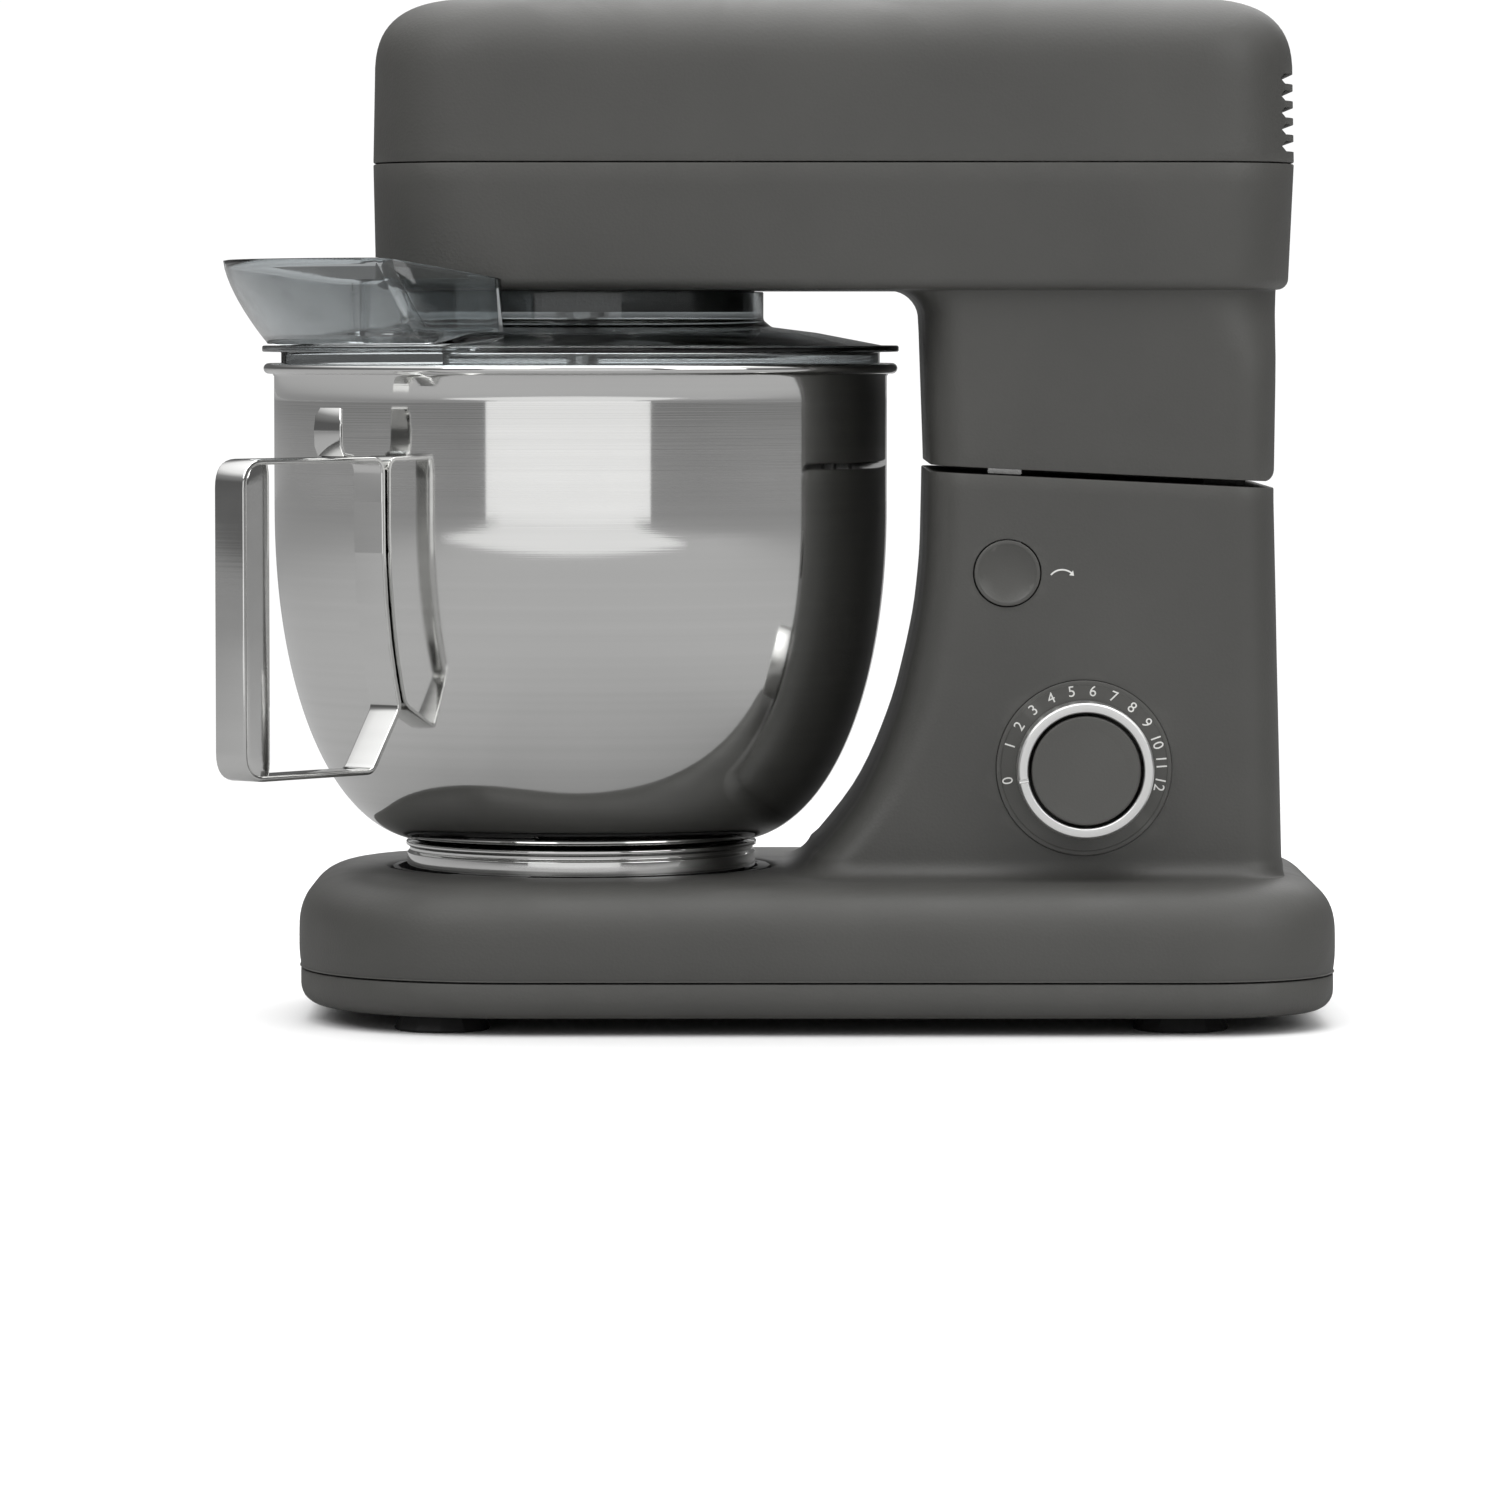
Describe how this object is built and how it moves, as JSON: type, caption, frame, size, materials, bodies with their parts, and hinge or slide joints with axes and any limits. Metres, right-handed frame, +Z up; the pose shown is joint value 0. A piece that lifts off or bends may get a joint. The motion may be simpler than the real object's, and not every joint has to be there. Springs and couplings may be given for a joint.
{
  "type": "stand mixer",
  "caption": "Tilt-head planetary stand mixer with a handled steel bowl, splash guard with feed chute, flat beater, speed dial and tilt button.",
  "frame": {"origin": "middle of the whole object's footprint, on the surface that the feet stand on", "axes": "+X from the bowl to the column at the back, +Z up, the dial and the tilt button on the -Y side"},
  "size_m": [0.4006, 0.2618, 0.368],
  "materials": {
    "casing": "matte, fine moulded grain, warm dark grey",
    "knob_face": "matte, smooth",
    "rubber": "matte black",
    "polished": "mirror polished stainless steel",
    "satin": "satin",
    "smoky": "clear smoky plastic",
    "coated": "non-stick coating on cast aluminium, matte",
    "silicone": "matte silicone",
    "steel": "plain steel",
    "copper": "enamelled copper",
    "nylon": "natural nylon",
    "black_plastic": "matte black plastic",
    "circuit": "circuit board"
  },
  "bodies": {
    "stand": {"base_shell": "casing", "base_pan": "casing", "foot_1": "rubber", "foot_2": "rubber", "foot_3": "rubber", "foot_4": "rubber", "pan_screw_1": "steel", "pan_screw_2": "steel", "pan_screw_3": "steel", "pan_screw_4": "steel", "bowl_seat": "black_plastic", "cord_gland": "rubber", "control_board": "circuit", "number_disc": "knob_face", "speed_switch": "black_plastic", "button_spring": "steel", "button_guide": "black_plastic", "hinge_bracket": "steel", "hinge_pin": "satin"},
    "head": {"head_shell": "casing", "head_cover": "casing", "rear_grille": "casing", "hinge_frame": "steel", "latch_catch": "steel", "chassis_plate": "steel", "chassis_screw_1": "steel", "chassis_screw_2": "steel", "chassis_screw_3": "steel", "chassis_screw_4": "steel", "ring_gear": "steel", "hub_collar": "satin", "drive_belt": "rubber", "motor_stator": "steel", "field_coil": "copper", "motor_brush_1": "black_plastic", "motor_brush_2": "black_plastic", "splash_guard": "smoky", "feed_chute": "smoky"},
    "bowl": {"bowl": "polished", "bowl_foot": "polished", "bowl_handle": "polished"},
    "knob": {"speed_knob": "knob_face", "knob_ring": "satin"},
    "button": {"tilt_button": "knob_face"},
    "carrier": {"planet_carrier": "satin", "main_shaft": "steel", "large_gear": "nylon"},
    "tool": {"planet_gear": "steel", "tool_shaft": "satin", "tool_pin": "satin", "beater_frame": "coated", "wiper_blade": "silicone"},
    "countershaft": {"countershaft": "steel", "pinion": "steel", "belt_pulley": "nylon"},
    "rotor": {"motor_shaft": "steel", "armature": "copper", "commutator": "copper", "cooling_fan": "nylon", "motor_pulley": "steel"}
  },
  "joints": [
    {"name": "head_tilt", "type": "hinge", "parent": "stand", "child": "head", "pos_m": [0.16997, 0.01497, 0.201], "axis": [0, 1, 0], "range_deg": [0, 38]},
    {"name": "carrier_spin", "type": "hinge", "parent": "head", "child": "carrier", "pos_m": [-0.07113, 0.01497, 0.25], "axis": [0, 0, 1], "continuous": true},
    {"name": "tool_spin", "type": "hinge", "parent": "carrier", "child": "tool", "pos_m": [-0.07113, 0.04497, 0.25], "axis": [0, 0, 1], "continuous": true},
    {"name": "countershaft_spin", "type": "hinge", "parent": "head", "child": "countershaft", "pos_m": [-0.01413, 0.01497, 0.3], "axis": [0, 0, 1], "continuous": true},
    {"name": "motor_spin", "type": "hinge", "parent": "head", "child": "rotor", "pos_m": [0.10387, 0.01497, 0.3], "axis": [0, 0, 1], "continuous": true},
    {"name": "speed_dial_turn", "type": "hinge", "parent": "stand", "child": "knob", "pos_m": [0.10937, -0.06503, 0.0931], "axis": [0, 1, 0], "range_deg": [0, 201]},
    {"name": "tilt_button_press", "type": "slide", "parent": "stand", "child": "button", "axis": [0, 1, 0], "range_m": [0, 0.004], "stiffness_N_per_m": 500},
    {"name": "bowl_twist", "type": "hinge", "parent": "stand", "child": "bowl", "pos_m": [-0.07113, 0.01497, 0.05], "axis": [0, 0, 1], "range_deg": [0, 30]}
  ],
  "couplings": [
    {"joint": "tool_spin", "follows": "carrier_spin", "ratio": -3.5},
    {"joint": "countershaft_spin", "follows": "carrier_spin", "ratio": -4.1818},
    {"joint": "motor_spin", "follows": "carrier_spin", "ratio": -16.727}
  ]
}
